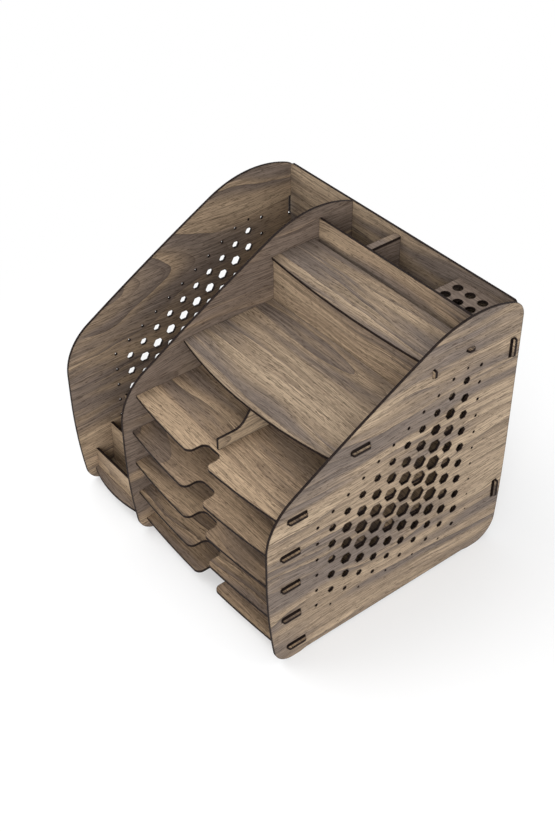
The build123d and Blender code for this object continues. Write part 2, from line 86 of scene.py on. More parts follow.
class RackVeneer(bpy.types.PropertyGroup):
    """Walnut veneer on the faces of the boards."""

    pale: bpy.props.FloatVectorProperty(
        name="Pale Wood",
        description="Colour of the palest bands",
        subtype="COLOR",
        size=4,
        min=0.0,
        max=1.0,
        default=(0.335, 0.254, 0.174, 1.0),
    )
    brown: bpy.props.FloatVectorProperty(
        name="Brown Wood",
        description="Colour between the pale and the grey bands",
        subtype="COLOR",
        size=4,
        min=0.0,
        max=1.0,
        default=(0.242, 0.180, 0.124, 1.0),
    )
    grey: bpy.props.FloatVectorProperty(
        name="Grey Wood",
        description="Colour of the grey bands",
        subtype="COLOR",
        size=4,
        min=0.0,
        max=1.0,
        default=(0.143, 0.113, 0.094, 1.0),
    )
    line: bpy.props.FloatVectorProperty(
        name="Growth Line",
        description="Colour of the thin lines between growth rings",
        subtype="COLOR",
        size=4,
        min=0.0,
        max=1.0,
        default=(0.075, 0.055, 0.044, 1.0),
    )
    pore: bpy.props.FloatVectorProperty(
        name="Pore",
        description="Colour inside the open pores",
        subtype="COLOR",
        size=4,
        min=0.0,
        max=1.0,
        default=(0.05, 0.033, 0.023, 1.0),
    )
    sway: bpy.props.FloatProperty(
        name="Sway",
        description="How far the grain wanders sideways along a board",
        subtype="DISTANCE",
        unit="LENGTH",
        default=0.026,
    )
    sway_length: bpy.props.FloatProperty(
        name="Sway Length",
        description="Distance along the grain over which it wanders",
        subtype="DISTANCE",
        unit="LENGTH",
        default=0.23,
    )
    sway_width: bpy.props.FloatProperty(
        name="Sway Width",
        description="Distance across the grain over which it wanders",
        subtype="DISTANCE",
        unit="LENGTH",
        default=0.095,
    )
    ripple: bpy.props.FloatProperty(
        name="Ripple",
        description="How far the grain ripples sideways",
        subtype="DISTANCE",
        unit="LENGTH",
        default=0.007,
    )
    ripple_length: bpy.props.FloatProperty(
        name="Ripple Length",
        description="Distance along the grain over which it ripples",
        subtype="DISTANCE",
        unit="LENGTH",
        default=0.062,
    )
    ripple_width: bpy.props.FloatProperty(
        name="Ripple Width",
        description="Distance across the grain over which it ripples",
        subtype="DISTANCE",
        unit="LENGTH",
        default=0.026,
    )
    band_length: bpy.props.FloatProperty(
        name="Band Length",
        description="Usual length of a pale or grey band",
        subtype="DISTANCE",
        unit="LENGTH",
        default=0.19,
    )
    band_width: bpy.props.FloatProperty(
        name="Band Width",
        description="Usual width of a pale or grey band",
        subtype="DISTANCE",
        unit="LENGTH",
        default=0.022,
    )
    zone_length: bpy.props.FloatProperty(
        name="Zone Length",
        description="Usual length of a pale or grey part of a board",
        subtype="DISTANCE",
        unit="LENGTH",
        default=0.24,
    )
    zone_width: bpy.props.FloatProperty(
        name="Zone Width",
        description="Usual width of a pale or grey part of a board",
        subtype="DISTANCE",
        unit="LENGTH",
        default=0.07,
    )
    season_width: bpy.props.FloatProperty(
        name="Season Width",
        description="Usual distance between sharp steps in colour",
        subtype="DISTANCE",
        unit="LENGTH",
        default=0.017,
    )
    ring_spacing: bpy.props.FloatProperty(
        name="Ring Spacing",
        description="Usual distance between growth lines",
        subtype="DISTANCE",
        unit="LENGTH",
        default=0.0062,
    )
    fibre_length: bpy.props.FloatProperty(
        name="Fibre Length",
        description="Usual length of a fibre",
        subtype="DISTANCE",
        unit="LENGTH",
        default=0.12,
    )
    fibre_width: bpy.props.FloatProperty(
        name="Fibre Width",
        description="Usual width of a fibre",
        subtype="DISTANCE",
        unit="LENGTH",
        default=0.0012,
    )
    fleck_length: bpy.props.FloatProperty(
        name="Fleck Length",
        description="Usual length of a fleck",
        subtype="DISTANCE",
        unit="LENGTH",
        default=0.016,
    )
    fleck_width: bpy.props.FloatProperty(
        name="Fleck Width",
        description="Usual width of a fleck",
        subtype="DISTANCE",
        unit="LENGTH",
        default=0.001,
    )
    pore_length: bpy.props.FloatProperty(
        name="Pore Length",
        description="Usual length of an open pore",
        subtype="DISTANCE",
        unit="LENGTH",
        default=0.008,
    )
    pore_width: bpy.props.FloatProperty(
        name="Pore Width",
        description="Usual width of an open pore",
        subtype="DISTANCE",
        unit="LENGTH",
        default=0.0008,
    )
    relief: bpy.props.FloatProperty(
        name="Relief",
        description="Depth of the pores and flecks",
        subtype="DISTANCE",
        unit="LENGTH",
        default=0.0002,
    )
    taper: bpy.props.FloatProperty(
        name="Taper",
        description="How fast the rings sink along the trunk",
        default=0.13,
    )
    band_reach: bpy.props.FloatProperty(
        name="Band Reach",
        description="Spread of the band pattern from grey to pale",
        default=0.26,
    )
    zone_strength: bpy.props.FloatProperty(
        name="Zone Strength",
        description="How far the pale and grey parts differ",
        default=0.6,
    )
    season_drift: bpy.props.FloatProperty(
        name="Season Drift",
        description="How unevenly the steps and growth lines are spaced",
        default=4.0,
    )
    season_strength: bpy.props.FloatProperty(
        name="Season Strength",
        description="How far the colour changes at a step",
        default=0.34,
    )
    season_start: bpy.props.FloatProperty(
        name="Season Start",
        description="Level of its pattern at which a sharp step starts to show",
        default=-0.1,
    )
    season_full: bpy.props.FloatProperty(
        name="Season Full",
        description="Level of its pattern at which a sharp step shows fully",
        default=0.15,
    )
    line_sharpness: bpy.props.FloatProperty(
        name="Line Sharpness",
        description="How sharply a growth line ends",
        default=7.0,
    )
    step_sharpness: bpy.props.FloatProperty(
        name="Step Sharpness",
        description="How narrow the dark line at a sharp step is",
        default=11.0,
    )
    line_strength: bpy.props.FloatProperty(
        name="Line Strength",
        description="How dark the growth lines are",
        subtype="FACTOR",
        min=0.0,
        max=1.0,
        default=0.65,
    )
    line_start: bpy.props.FloatProperty(
        name="Line Start",
        description="Level of its pattern at which a growth line starts to show",
        default=-0.08,
    )
    line_full: bpy.props.FloatProperty(
        name="Line Full",
        description="Level of its pattern at which a growth line shows fully",
        default=0.14,
    )
    fibre_strength: bpy.props.FloatProperty(
        name="Fibre Strength",
        description="How far the fibres differ in shade",
        default=1.6,
    )
    fleck_strength: bpy.props.FloatProperty(
        name="Fleck Strength",
        description="How far the flecks differ in shade",
        default=1.0,
    )
    least_shade: bpy.props.FloatProperty(
        name="Least Shade",
        description="Shade of the darkest fibres",
        subtype="FACTOR",
        min=0.0,
        max=1.0,
        default=0.25,
    )
    pore_strength: bpy.props.FloatProperty(
        name="Pore Strength",
        description="How dark the open pores are",
        subtype="FACTOR",
        min=0.0,
        max=1.0,
        default=0.68,
    )
    pore_start: bpy.props.FloatProperty(
        name="Pore Start",
        description="Level of its pattern at which a pore starts to show",
        default=0.08,
    )
    pore_full: bpy.props.FloatProperty(
        name="Pore Full",
        description="Level of its pattern at which a pore shows fully",
        default=0.18,
    )
    roughness: bpy.props.FloatProperty(
        name="Roughness",
        description="Roughness of the smooth wood",
        subtype="FACTOR",
        min=0.0,
        max=1.0,
        default=0.52,
    )
    pore_roughness: bpy.props.FloatProperty(
        name="Pore Roughness",
        description="How much rougher the open pores are",
        subtype="FACTOR",
        min=0.0,
        max=1.0,
        default=0.18,
    )
    relief_strength: bpy.props.FloatProperty(
        name="Relief Strength",
        description="Strength of the relief in the shading",
        subtype="FACTOR",
        min=0.0,
        max=1.0,
        default=0.5,
    )
    gloss: bpy.props.FloatProperty(
        name="Gloss",
        description="Level of the clear reflection on the boards",
        subtype="FACTOR",
        min=0.0,
        max=1.0,
        default=0.12,
    )


class RackCutEdge(bpy.types.PropertyGroup):
    """Scorched finish on the cut edges of the boards, and the painted shade beside the slots."""

    char: bpy.props.FloatVectorProperty(
        name="Char",
        description="Colour of the scorched edge",
        subtype="COLOR",
        size=4,
        min=0.0,
        max=1.0,
        default=(0.010, 0.006, 0.005, 1.0),
    )
    ember: bpy.props.FloatVectorProperty(
        name="Ember",
        description="Colour where the scorch is thin",
        subtype="COLOR",
        size=4,
        min=0.0,
        max=1.0,
        default=(0.03, 0.018, 0.013, 1.0),
    )
    turn_start: bpy.props.FloatProperty(
        name="Turn Start",
        description="How squarely a surface faces out of the board, from 0 to 1, where the scorch starts",
        subtype="FACTOR",
        min=0.0,
        max=1.0,
        default=0.9,
    )
    turn_full: bpy.props.FloatProperty(
        name="Turn Full",
        description="How squarely a surface faces out of the board, from 0 to 1, where the scorch is full",
        subtype="FACTOR",
        min=0.0,
        max=1.0,
        default=0.55,
    )
    mark_width: bpy.props.FloatProperty(
        name="Mark Width",
        description="Usual width of a burn mark",
        subtype="DISTANCE",
        unit="LENGTH",
        default=0.0009,
    )
    mark_depth: bpy.props.FloatProperty(
        name="Mark Depth",
        description="Usual length of a burn mark through the board",
        subtype="DISTANCE",
        unit="LENGTH",
        default=0.007,
    )
    mark_start: bpy.props.FloatProperty(
        name="Mark Start",
        description="Level of the marks at which the scorch starts to thin",
        subtype="FACTOR",
        min=0.0,
        max=1.0,
        default=0.42,
    )
    mark_full: bpy.props.FloatProperty(
        name="Mark Full",
        description="Level of the marks at which the scorch is thin",
        subtype="FACTOR",
        min=0.0,
        max=1.0,
        default=0.72,
    )
    patch_width: bpy.props.FloatProperty(
        name="Patch Width",
        description="Usual size of a patch of thin scorch along an edge",
        subtype="DISTANCE",
        unit="LENGTH",
        default=0.014,
    )
    patch_depth: bpy.props.FloatProperty(
        name="Patch Depth",
        description="Usual size of a patch of thin scorch through the board",
        subtype="DISTANCE",
        unit="LENGTH",
        default=0.001,
    )
    patch_start: bpy.props.FloatProperty(
        name="Patch Start",
        description="Level of the patches at which the scorch starts to thin",
        subtype="FACTOR",
        min=0.0,
        max=1.0,
        default=0.35,
    )
    patch_full: bpy.props.FloatProperty(
        name="Patch Full",
        description="Level of the patches at which the scorch is thin",
        subtype="FACTOR",
        min=0.0,
        max=1.0,
        default=0.7,
    )
    added_roughness: bpy.props.FloatProperty(
        name="Added Roughness",
        description="How much rougher than the wood an edge is",
        subtype="FACTOR",
        min=0.0,
        max=1.0,
        default=0.2,
    )
    rim_width: bpy.props.FloatProperty(
        name="Rim Width",
        description="Reach of the scorch on the faces beside an edge",
        subtype="DISTANCE",
        unit="LENGTH",
        default=0.0018,
    )
    rim_strength: bpy.props.FloatProperty(
        name="Rim Strength",
        description="Strength of the scorch on the faces beside an edge",
        subtype="FACTOR",
        min=0.0,
        max=1.0,
        default=0.85,
    )
    rim_start: bpy.props.FloatProperty(
        name="Rim Start",
        description="How well the rounded and the flat surface agree, from 0 to 1, where the rim starts",
        subtype="FACTOR",
        min=0.0,
        max=1.0,
        default=0.985,
    )
    rim_full: bpy.props.FloatProperty(
        name="Rim Full",
        description="How well the rounded and the flat surface agree, from 0 to 1, where the rim is full",
        subtype="FACTOR",
        min=0.0,
        max=1.0,
        default=0.88,
    )
    # Painted shade: how far the char colour runs past a slot onto the tab, standing for the shade beside
    # the panel.
    painted_shade_reach: bpy.props.FloatProperty(
        name="Painted Shade Reach",
        description="How far the soot of a slot reaches along the tab that stands out of it",
        subtype="DISTANCE",
        unit="LENGTH",
        default=0.0009,
    )
    rim_samples: bpy.props.IntProperty(
        name="Rim Samples",
        description="Samples used to find the edges",
        min=2,
        max=16,
        default=4,
    )


class RackStage(bpy.types.PropertyGroup):
    """Floor, light and camera."""

    floor_colour: bpy.props.FloatVectorProperty(
        name="Floor",
        description="Colour of the floor",
        subtype="COLOR",
        size=4,
        min=0.0,
        max=1.0,
        default=(0.86, 0.865, 0.87, 1.0),
    )
    floor_roughness: bpy.props.FloatProperty(
        name="Floor Roughness",
        description="Roughness of the floor",
        subtype="FACTOR",
        min=0.0,
        max=1.0,
        default=0.9,
    )
    floor_size: bpy.props.FloatProperty(
        name="Floor Size",
        description="Length of the floor's sides",
        subtype="DISTANCE",
        unit="LENGTH",
        default=24.0,
    )
    floor_veil: bpy.props.FloatProperty(
        name="Floor Veil",
        description="Share of plain white that the camera sees over the floor",
        subtype="FACTOR",
        min=0.0,
        max=1.0,
        default=0.33,
    )
    veil_start: bpy.props.FloatProperty(
        name="Veil Start",
        description="Distance from the rack at which the floor starts to fade to white",
        subtype="DISTANCE",
        unit="LENGTH",
        default=0.2,
    )
    veil_end: bpy.props.FloatProperty(
        name="Veil End",
        description="Distance from the rack at which the floor is plain white",
        subtype="DISTANCE",
        unit="LENGTH",
        default=0.65,
    )
    sky_strength: bpy.props.FloatProperty(
        name="Sky Strength",
        description="Strength of the even light from all around",
        min=0.0,
        default=0.74,
    )
    key_power: bpy.props.FloatProperty(
        name="Key Power",
        description="Power of the large lamp above the left front",
        subtype="POWER",
        unit="POWER",
        min=0.0,
        default=42.0,
    )
    fill_power: bpy.props.FloatProperty(
        name="Fill Power",
        description="Power of the large lamp at the right front",
        subtype="POWER",
        unit="POWER",
        min=0.0,
        default=70.0,
    )
    key_place: bpy.props.FloatVectorProperty(
        name="Key Place",
        description="Where the lamp above the left front hangs",
        subtype="TRANSLATION",
        unit="LENGTH",
        default=(-1.3, -1.0, 2.6),
    )
    key_size: bpy.props.FloatProperty(
        name="Key Size",
        description="Length of the key lamp's sides",
        subtype="DISTANCE",
        unit="LENGTH",
        default=2.2,
    )
    fill_place: bpy.props.FloatVectorProperty(
        name="Fill Place",
        description="Where the lamp at the right front stands",
        subtype="TRANSLATION",
        unit="LENGTH",
        default=(2.2, -1.6, 1.4),
    )
    fill_size: bpy.props.FloatProperty(
        name="Fill Size",
        description="Length of the fill lamp's sides",
        subtype="DISTANCE",
        unit="LENGTH",
        default=2.0,
    )
    lamp_aim: bpy.props.FloatVectorProperty(
        name="Lamp Aim",
        description="Place at which both lamps point",
        subtype="TRANSLATION",
        unit="LENGTH",
        default=(0.0, 0.0, 0.15),
    )
    camera_place: bpy.props.FloatVectorProperty(
        name="Camera Place",
        description="Where the camera stands",
        subtype="TRANSLATION",
        unit="LENGTH",
        default=(0.8824, -0.7007, 1.0771),
    )
    camera_turn: bpy.props.FloatVectorProperty(
        name="Camera Turn",
        description="How the camera is turned",
        subtype="EULER",
        unit="ROTATION",
        default=(math.radians(50.195), math.radians(0.259), math.radians(51.667)),
    )
    camera_lens: bpy.props.FloatProperty(
        name="Camera Lens",
        description="Focal length of the camera",
        subtype="DISTANCE_CAMERA",
        unit="CAMERA",
        default=57.757,
    )


def feed(tree, socket, value):
    """Link a socket to another one, or set its own value."""
    if isinstance(value, bpy.types.NodeSocket):
        tree.links.new(value, socket)
    else:
        socket.default_value = value


def calculate(tree, operation, *values):
    """Math node with the given inputs."""
    node = tree.nodes.new("ShaderNodeMath")
    node.operation = operation
    for socket, value in zip(node.inputs, values):
        feed(tree, socket, value)
    return node.outputs["Value"]


def spread(tree, value, low, high, new_low=0.0, new_high=1.0):
    """Map a range of values onto another range, held at its ends."""
    node = tree.nodes.new("ShaderNodeMapRange")
    node.interpolation_type = "SMOOTHSTEP"
    feed(tree, node.inputs["Value"], value)
    feed(tree, node.inputs["From Min"], low)
    feed(tree, node.inputs["From Max"], high)
    feed(tree, node.inputs["To Min"], new_low)
    feed(tree, node.inputs["To Max"], new_high)
    return node.outputs["Result"]


def vector(tree, first, second, third):
    """Vector made of three values."""
    node = tree.nodes.new("ShaderNodeCombineXYZ")
    for socket, value in zip(node.inputs, (first, second, third)):
        feed(tree, socket, value)
    return node.outputs["Vector"]


def noise(tree, first, second, third, detail=2.0, roughness=0.5):
    """Noise between 0 and 1 at a place counted in lengths of its own pattern."""
    node = tree.nodes.new("ShaderNodeTexNoise")
    feed(tree, node.inputs["Vector"], vector(tree, first, second, third))
    node.inputs["Scale"].default_value = 1.0
    node.inputs["Detail"].default_value = detail
    node.inputs["Roughness"].default_value = roughness
    return node.outputs["Fac"]


def blend(tree, factor, first, second, mode="MIX"):
    """Mix of two colours."""
    node = tree.nodes.new("ShaderNodeMix")
    node.data_type = "RGBA"
    node.blend_type = mode
    sockets = [socket for socket in node.inputs if socket.enabled]
    for socket, value in zip(sockets, (factor, first, second)):
        feed(tree, socket, value)
    return next(socket for socket in node.outputs if socket.enabled)


def new_group(name, inputs, outputs):
    """Empty shader node group with named inputs and outputs."""
    tree = bpy.data.node_groups.new(name, "ShaderNodeTree")
    for socket_name, kind in inputs:
        tree.interface.new_socket(socket_name, in_out="INPUT", socket_type=kind)
    for socket_name, kind in outputs:
        tree.interface.new_socket(socket_name, in_out="OUTPUT", socket_type=kind)
    source = tree.nodes.new("NodeGroupInput").outputs
    target = tree.nodes.new("NodeGroupOutput").inputs
    return tree, source, target


def build_veneer_group(veneer):
    """Walnut figure: rings of a slightly cone-shaped trunk, with bands, lines, fibres and pores."""
    tree, source, target = new_group(
        "walnut_veneer",
        (
            ("Along", "NodeSocketFloat"),
            ("Across", "NodeSocketFloat"),
            ("Seed", "NodeSocketFloat"),
            ("Heart Along", "NodeSocketFloat"),
            ("Heart Across", "NodeSocketFloat"),
            ("Heart Depth", "NodeSocketFloat"),
            ("Paleness And Painted Shade", "NodeSocketFloat"),
            ("Painted Bounce Warmth", "NodeSocketFloat"),
        ),
        (
            ("Colour", "NodeSocketColor"),
            ("Roughness", "NodeSocketFloat"),
            ("Height", "NodeSocketFloat"),
        ),
    )
    along = source["Along"]
    across = source["Across"]

    def pattern(layer, length, sideways, width, detail=1.0):
        """Noise around zero, stretched along the grain and different for each layer and board."""
        place = calculate(tree, "ADD", source["Seed"], LAYER_STEP * layer)
        first = calculate(tree, "DIVIDE", along, length)
        second = calculate(tree, "DIVIDE", sideways, width)
        return calculate(tree, "SUBTRACT", noise(tree, first, second, place, detail), HALF)

    sway = pattern(1, veneer.sway_length, across, veneer.sway_width)
    swayed = calculate(tree, "MULTIPLY_ADD", sway, veneer.sway, across)
    ripple = pattern(2, veneer.ripple_length, across, veneer.ripple_width)
    rippled = calculate(tree, "MULTIPLY_ADD", ripple, veneer.ripple, swayed)

    sideways = calculate(tree, "SUBTRACT", rippled, source["Heart Across"])
    run = calculate(tree, "SUBTRACT", along, source["Heart Along"])
    depth = calculate(tree, "MULTIPLY_ADD", run, veneer.taper, source["Heart Depth"])
    ring = calculate(tree, "MULTIPLY", sideways, sideways)
    ring = calculate(tree, "MULTIPLY_ADD", depth, depth, ring)
    ring = calculate(tree, "SQRT", ring)

    band = pattern(3, veneer.band_length, ring, veneer.band_width)
    zone = pattern(4, veneer.zone_length, across, veneer.zone_width)
    band = calculate(tree, "MULTIPLY_ADD", zone, veneer.zone_strength, band)
    uneven = pattern(5, veneer.zone_length, ring, veneer.zone_width)
    season = calculate(tree, "DIVIDE", ring, veneer.season_width)
    season = calculate(tree, "MULTIPLY_ADD", uneven, veneer.season_drift, season)
    season = calculate(tree, "FRACT", season)
    season_mask = pattern(6, veneer.band_length, ring, veneer.band_width)
    season_mask = spread(tree, season_mask, veneer.season_start, veneer.season_full)
    season_step = calculate(tree, "SUBTRACT", HALF, season)
    season_step = calculate(tree, "MULTIPLY", season_step, season_mask)
    band = calculate(tree, "MULTIPLY_ADD", season_step, veneer.season_strength, band)
    # Paler or darker per board: partly the wood's own colour, partly painted shade for boards that stand
    # in shade.
    band = calculate(tree, "ADD", band, source["Paleness And Painted Shade"])
    band = spread(tree, band, -veneer.band_reach, veneer.band_reach)

    phase = calculate(tree, "DIVIDE", ring, veneer.ring_spacing)
    phase = calculate(tree, "MULTIPLY_ADD", uneven, veneer.season_drift, phase)
    phase = calculate(tree, "FRACT", phase)
    line = calculate(tree, "POWER", phase, veneer.line_sharpness)
    line_mask = pattern(7, veneer.band_length, rippled, veneer.band_width)
    line_mask = spread(tree, line_mask, veneer.line_start, veneer.line_full)
    line = calculate(tree, "MULTIPLY", line, line_mask)
    step_line = calculate(tree, "POWER", season, veneer.step_sharpness)
    step_line = calculate(tree, "MULTIPLY", step_line, season_mask)
    line = calculate(tree, "MAXIMUM", line, step_line)

    fibre = pattern(8, veneer.fibre_length, rippled, veneer.fibre_width)
    fleck = pattern(9, veneer.fleck_length, rippled, veneer.fleck_width)
    pore = pattern(10, veneer.pore_length, rippled, veneer.pore_width)
    pore = spread(tree, pore, veneer.pore_start, veneer.pore_full)

    ramp = tree.nodes.new("ShaderNodeValToRGB")
    feed(tree, ramp.inputs["Fac"], band)
    ramp.color_ramp.elements[0].color = veneer.grey
    ramp.color_ramp.elements[1].color = veneer.pale
    middle = ramp.color_ramp.elements.new(HALF)
    middle.color = veneer.brown
    colour = ramp.outputs["Color"]
    shade = calculate(tree, "MULTIPLY_ADD", fibre, veneer.fibre_strength, 1.0)
    shade = calculate(tree, "MULTIPLY_ADD", fleck, veneer.fleck_strength, shade)
    shade = calculate(tree, "MAXIMUM", shade, veneer.least_shade)
    colour = blend(tree, 1.0, colour, vector(tree, shade, shade, shade), "MULTIPLY")
    line = calculate(tree, "MULTIPLY", line, veneer.line_strength)
    colour = blend(tree, line, colour, tuple(veneer.line))
    pore_shade = calculate(tree, "MULTIPLY", pore, veneer.pore_strength)
    colour = blend(tree, pore_shade, colour, tuple(veneer.pore))
    # Painted light: a redder, less blue colour stands for the warm bounce of light between the boards in
    # shaded parts.
    bounce_redder = calculate(tree, "ADD", 1.0, source["Painted Bounce Warmth"])
    bounce_less_blue = calculate(tree, "SUBTRACT", 1.0, source["Painted Bounce Warmth"])
    colour = blend(tree, 1.0, colour, vector(tree, bounce_redder, 1.0, bounce_less_blue), "MULTIPLY")
    feed(tree, target["Colour"], colour)

    rough = calculate(tree, "MULTIPLY_ADD", pore, veneer.pore_roughness, veneer.roughness)
    rough = calculate(tree, "MULTIPLY_ADD", fibre, -veneer.pore_roughness, rough)
    feed(tree, target["Roughness"], rough)
    feed(tree, target["Height"], calculate(tree, "SUBTRACT", fleck, pore))
    return tree


def build_edge_group(edge):
    """Scorched edge: a mask of the faces between a board's two sides and of painted shade where a tab sits
    in a side panel's slot, and marks that run across them.
    """
    tree, source, target = new_group(
        "scorched_edge_and_slot_shade",
        (
            ("Along", "NodeSocketFloat"),
            ("Across", "NodeSocketFloat"),
            ("Through", "NodeSocketFloat"),
            ("Facing", "NodeSocketFloat"),
            ("Slot Start", "NodeSocketFloat"),
            ("Slot End", "NodeSocketFloat"),
        ),
        (
            ("Mask", "NodeSocketFloat"),
            ("Colour", "NodeSocketColor"),
            ("Height", "NodeSocketFloat"),
        ),
    )
    turned = calculate(tree, "ABSOLUTE", source["Facing"])
    turned = spread(tree, turned, edge.turn_start, edge.turn_full)
    # Painted shade: the char colour also covers the faces where a tab sits in a side panel's slot and just
    # past it, standing for the shade in that recess.
    sideways = calculate(tree, "ABSOLUTE", source["Along"])
    past_start = calculate(tree, "GREATER_THAN", sideways, source["Slot Start"])
    before_end = calculate(tree, "LESS_THAN", sideways, source["Slot End"])
    painted_slot_shade = calculate(tree, "MULTIPLY", past_start, before_end)
    feed(tree, target["Mask"], calculate(tree, "MAXIMUM", turned, painted_slot_shade))

    def pattern(width, depth, detail, roughness):
        """Noise between 0 and 1 with its own size along an edge and through the board."""
        first = calculate(tree, "DIVIDE", source["Along"], width)
        second = calculate(tree, "DIVIDE", source["Across"], width)
        third = calculate(tree, "DIVIDE", source["Through"], depth)
        return noise(tree, first, second, third, detail, roughness)

    marks = pattern(edge.mark_width, edge.mark_depth, detail=2.0, roughness=0.6)
    patches = pattern(edge.patch_width, edge.patch_depth, detail=1.0, roughness=0.5)
    thin = spread(tree, marks, edge.mark_start, edge.mark_full)
    patchy = spread(tree, patches, edge.patch_start, edge.patch_full)
    thin = calculate(tree, "MULTIPLY", thin, patchy)
    feed(tree, target["Colour"], blend(tree, thin, tuple(edge.char), tuple(edge.ember)))
    feed(tree, target["Height"], marks)
    return tree


def rack_groups():
    """The two shared finishes, built once."""
    scene = bpy.context.scene
    veneer = bpy.data.node_groups.get("walnut_veneer") or build_veneer_group(scene.rack_veneer)
    edge = bpy.data.node_groups.get("scorched_edge_and_slot_shade") or build_edge_group(scene.rack_cut_edge)
    return veneer, edge


def place_group(tree, group, values):
    """Put a shared finish into a material and feed its inputs by name."""
    node = tree.nodes.new("ShaderNodeGroup")
    node.node_tree = group
    for name, value in values.items():
        feed(tree, node.inputs[name], value)
    return node


def rim_scorch(tree):
    """Mask of the scorched rim that the cut leaves on the faces beside an edge."""
    edge = bpy.context.scene.rack_cut_edge
    rounded = tree.nodes.new("ShaderNodeBevel")
    rounded.samples = edge.rim_samples
    rounded.inputs["Radius"].default_value = edge.rim_width
    surface = tree.nodes.new("ShaderNodeNewGeometry")
    turned = tree.nodes.new("ShaderNodeVectorMath")
    turned.operation = "DOT_PRODUCT"
    feed(tree, turned.inputs[0], rounded.outputs["Normal"])
    feed(tree, turned.inputs[1], surface.outputs["True Normal"])
    scorch = spread(tree, turned.outputs["Value"], edge.rim_start, edge.rim_full)
    return calculate(tree, "MULTIPLY", scorch, edge.rim_strength)


def board_material(name, axes, heart, tone_and_painted_light, seed, slot):
    """Material of one board: veneer on its faces and scorch on its edges."""
    settings = bpy.context.scene.rack_veneer
    veneer_group, edge_group = rack_groups()
    material = bpy.data.materials.new(name + "_walnut")
    material.use_nodes = True
    tree = material.node_tree
    shader = tree.nodes["Principled BSDF"]
    places = tree.nodes.new("ShaderNodeTexCoord")
    split = tree.nodes.new("ShaderNodeSeparateXYZ")
    feed(tree, split.inputs["Vector"], places.outputs["Object"])
    facing = tree.nodes.new("ShaderNodeSeparateXYZ")
    feed(tree, facing.inputs["Vector"], places.outputs["Normal"])
    along, across, through = axes
    heart_along, heart_across, heart_depth = heart
    # The first value is partly the wood's own colour and partly painted shade; the second is a painted
    # warm bounce of light.
    paleness_and_painted_shade, painted_bounce_warmth = tone_and_painted_light
    slot_start, slot_end = slot
    veneer_values = {
        "Along": split.outputs[along],
        "Across": split.outputs[across],
        "Seed": SEED_STEP * sorted(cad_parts).index(name) + seed,
        "Heart Along": heart_along,
        "Heart Across": heart_across,
        "Heart Depth": heart_depth,
        "Paleness And Painted Shade": paleness_and_painted_shade,
        "Painted Bounce Warmth": painted_bounce_warmth,
    }
    edge_values = {
        "Along": split.outputs[along],
        "Across": split.outputs[across],
        "Through": split.outputs[through],
        "Facing": facing.outputs[through],
        "Slot Start": slot_start,
        "Slot End": slot_end,
    }
    veneer = place_group(tree, veneer_group, veneer_values).outputs
    edge = place_group(tree, edge_group, edge_values).outputs
    # The char colour covers the scorched edges, the scorched rim beside them, and the painted shade where
    # a tab sits in its slot.
    mask = calculate(tree, "MAXIMUM", edge["Mask"], rim_scorch(tree))

    feed(tree, shader.inputs["Base Color"], blend(tree, mask, veneer["Colour"], edge["Colour"]))
    added_roughness = bpy.context.scene.rack_cut_edge.added_roughness
    rough = calculate(tree, "MULTIPLY_ADD", mask, added_roughness, veneer["Roughness"])
    feed(tree, shader.inputs["Roughness"], rough)
    bump = tree.nodes.new("ShaderNodeBump")
    bump.inputs["Strength"].default_value = settings.relief_strength
    bump.inputs["Distance"].default_value = settings.relief
    face_share = calculate(tree, "SUBTRACT", 1.0, mask)
    face_height = calculate(tree, "MULTIPLY", veneer["Height"], face_share)
    height = calculate(tree, "MULTIPLY_ADD", edge["Height"], mask, face_height)
    feed(tree, bump.inputs["Height"], height)
    feed(tree, shader.inputs["Normal"], bump.outputs["Normal"])
    shader.inputs["Specular IOR Level"].default_value = settings.gloss
    return material


def dress(name, axes, heart=(0.0, 0.2, 0.05), tone_and_painted_light=(0.0, 0.0), seed=0.0, slot=NO_SLOT):
    """Give one board its own sheet of veneer.

    heart is where the middle of the trunk lies along the grain, across it and in depth.
    tone_and_painted_light is how much paler the board is than a plain one, partly the wood's own colour
    and partly painted shade for boards that stand in shade, and how much warmer, a painted warm bounce of
    light between the boards. seed shifts its figure. slot is the range of distances from the middle of the
    rack in which the board gets painted shade in the char colour, for the shade where its tabs sit in the
    side panels' slots.
    """
    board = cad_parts[name]
    material = board_material(name, axes, heart, tone_and_painted_light, seed, slot)
    for holder in board.material_slots:
        holder.material = material


def side_slot():
    """Range of the painted shade around the side panels' slots, counted sideways from the middle of the
    rack.
    """
    low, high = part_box("right_side_panel")
    return low.x, high.x + bpy.context.scene.rack_cut_edge.painted_shade_reach


class RACK_OT_side_panels(bpy.types.Operator):
    """Veneer the two perforated side panels and the middle panel"""

    bl_idname = "rack.side_panels"
    bl_label = "Side Panels"

    def execute(self, context):
        dress(
            "right_side_panel",
            STANDING_SIDEWAYS,
            heart=(0.188, -0.188, 0.039),
            tone_and_painted_light=(-0.04, 0.0),
            seed=34.94,
        )
        dress(
            "left_side_panel",
            STANDING_SIDEWAYS,
            heart=(0.05, 0.25, 0.05),
            tone_and_painted_light=(-0.04, 0.02),
            seed=4.27,
        )
        # Much darker and a little warmer than the other panels: painted shade and a painted warm bounce
        # for its faces inside the bays.
        dress("middle_panel", STANDING_SIDEWAYS, heart=(0.0, 0.2, 0.04), tone_and_painted_light=(-0.24, 0.04))
        return {"FINISHED"}


class RACK_OT_trays(bpy.types.Operator):
    """Veneer the five letter trays"""

    bl_idname = "rack.trays"
    bl_label = "Trays"

    def execute(self, context):
        along, across, depth = TRAY_HEART
        along_step, across_step = TRAY_HEART_STEP
        for number, name in enumerate(TRAY_BOARDS):
            heart = (along + along_step * number, across + across_step * number, depth)
            # Painted light: the trays are made warmer for the warm bounce of light between them.
            dress(name, LYING_FLAT, heart=heart, tone_and_painted_light=(0.03, 0.05), slot=side_slot())
        return {"FINISHED"}


